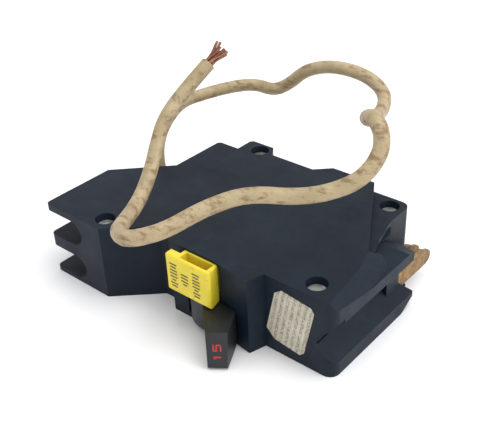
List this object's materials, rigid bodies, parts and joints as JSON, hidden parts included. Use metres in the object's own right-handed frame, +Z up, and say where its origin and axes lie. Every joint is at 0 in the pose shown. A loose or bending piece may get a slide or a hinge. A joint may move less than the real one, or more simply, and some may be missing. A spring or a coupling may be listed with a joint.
{
  "type": "gfci circuit breaker",
  "caption": "One-inch plug-on circuit breaker with ground-fault trip: two-part case, toggle handle, test button, stab jaws, wire slots and neutral pigtail.",
  "frame": {"origin": "middle of the case's footprint, on its lower side face, the case lying on its side", "axes": "+X from the load (wire) end to the line (stab) end, +Y from the handle side to the rear, +Z up through the one-inch thickness"},
  "size_m": [0.1031, 0.1072, 0.0711],
  "materials": {
    "phenolic": "satin, dusty",
    "fibre": "matte",
    "rivet_steel": "plated, dull",
    "handle_black": "satin",
    "pin_steel": "ground",
    "button_yellow": "satin",
    "copper": "dull",
    "spring_steel": "dull",
    "contact_silver": "dull",
    "stab_brass": "tarnished",
    "arc_steel": "dull",
    "bimetal_strip": "dull",
    "screw_brass": "dull",
    "board_green": "satin",
    "ferrite": "matte",
    "potting_black": "matte",
    "insulation_black": "satin",
    "wire_cream": "satin, aged",
    "nylon_white": "satin",
    "magnet_wire": "enamelled",
    "capacitor_blue": "gloss",
    "resistor_tan": "satin",
    "varistor_orange": "gloss",
    "terminal_screw": "plated",
    "strand_copper": "oxidised",
    "crimp_tin": "dull",
    "label_beige": "worn"
  },
  "bodies": {
    "housing": {"lower_case": "phenolic", "upper_case": "phenolic", "mid_barrier": "fibre", "case_rivets": "rivet_steel", "handle_pin": "pin_steel", "arm_pin": "pin_steel", "cradle_pin": "pin_steel", "latch_pin": "pin_steel", "fixed_contact": "contact_silver", "line_stab": "stab_brass", "stab_spring": "spring_steel", "arc_plates": "arc_steel", "arc_board": "fibre", "bimetal": "bimetal_strip", "bimetal_bracket": "arc_steel", "magnet_yoke": "arc_steel", "flexible_braid": "copper", "circuit_board": "board_green", "toroid_core": "ferrite", "toroid_case": "potting_black", "hot_conductor": "insulation_black", "neutral_conductor": "wire_cream", "solenoid_bobbin": "nylon_white", "solenoid_winding": "magnet_wire", "chip": "potting_black", "capacitors": "capacitor_blue", "resistors": "resistor_tan", "varistor": "varistor_orange", "thyristor": "potting_black", "hot_lug": "stab_brass", "neutral_lug": "stab_brass", "neutral_wire": "wire_cream", "wire_strands": "strand_copper", "wire_crimp": "crimp_tin", "label_lower": "label_beige", "label_upper": "label_beige", "test_contact": "copper", "test_spring": "spring_steel", "mechanism_spring": "spring_steel"},
    "toggle": {"handle": "handle_black"},
    "button": {"test_button": "button_yellow", "test_blade": "copper"},
    "arm": {"contact_arm": "copper", "moving_contact": "contact_silver"},
    "trip_lever": {"cradle": "arc_steel"},
    "latch": {"armature": "arc_steel"},
    "plunger": {"solenoid_plunger": "pin_steel"},
    "screw_hot": {"hot_screw": "terminal_screw"},
    "screw_neutral": {"neutral_screw": "terminal_screw"},
    "screw_calibration": {"calibration_screw": "screw_brass"}
  },
  "joints": [
    {"name": "handle_swing", "type": "hinge", "parent": "housing", "child": "toggle", "pos_m": [0.0102, -0.0184, 0.0064], "axis": [0, 0, 1], "range_deg": [-60, 0], "deforming": ["mechanism_spring", "flexible_braid"]},
    {"name": "arm_swing", "type": "hinge", "parent": "housing", "child": "arm", "pos_m": [-0.002, 0.01, 0.0064], "axis": [0, 0, 1], "range_deg": [0, 12]},
    {"name": "button_press", "type": "slide", "parent": "housing", "child": "button", "axis": [0, 1, 0], "range_m": [0, 0.0012], "stiffness_N_per_m": 400, "springref_m": -0.001, "deforming": ["test_spring"]},
    {"name": "cradle_swing", "type": "hinge", "parent": "housing", "child": "trip_lever", "pos_m": [-0.0084, 0.018, 0.0104], "axis": [0, 0, 1], "range_deg": [-8, 0]},
    {"name": "armature_swing", "type": "hinge", "parent": "housing", "child": "latch", "pos_m": [-0.02, -0.0012, 0.0079], "axis": [0, 0, 1], "range_deg": [-4, 0], "stiffness_Nm_per_rad": 0.02, "springref_deg": 2.86},
    {"name": "plunger_slide", "type": "slide", "parent": "housing", "child": "plunger", "axis": [1, 0, 0], "range_m": [-0.0015, 0], "stiffness_N_per_m": 120, "springref_m": 0.001},
    {"name": "hot_screw_turn", "type": "hinge", "parent": "housing", "child": "screw_hot", "pos_m": [-0.0394, -0.016, 0.01875], "axis": [0, 1, 0], "continuous": true},
    {"name": "neutral_screw_turn", "type": "hinge", "parent": "housing", "child": "screw_neutral", "pos_m": [-0.0394, -0.016, 0.0058], "axis": [0, 1, 0], "continuous": true},
    {"name": "calibration_screw_turn", "type": "hinge", "parent": "housing", "child": "screw_calibration", "pos_m": [-0.0246, -0.013, 0.0072], "axis": [0, 1, 0], "continuous": true}
  ],
  "couplings": [
    {"joint": "arm_swing", "follows": "handle_swing", "ratio": -0.2}
  ]
}
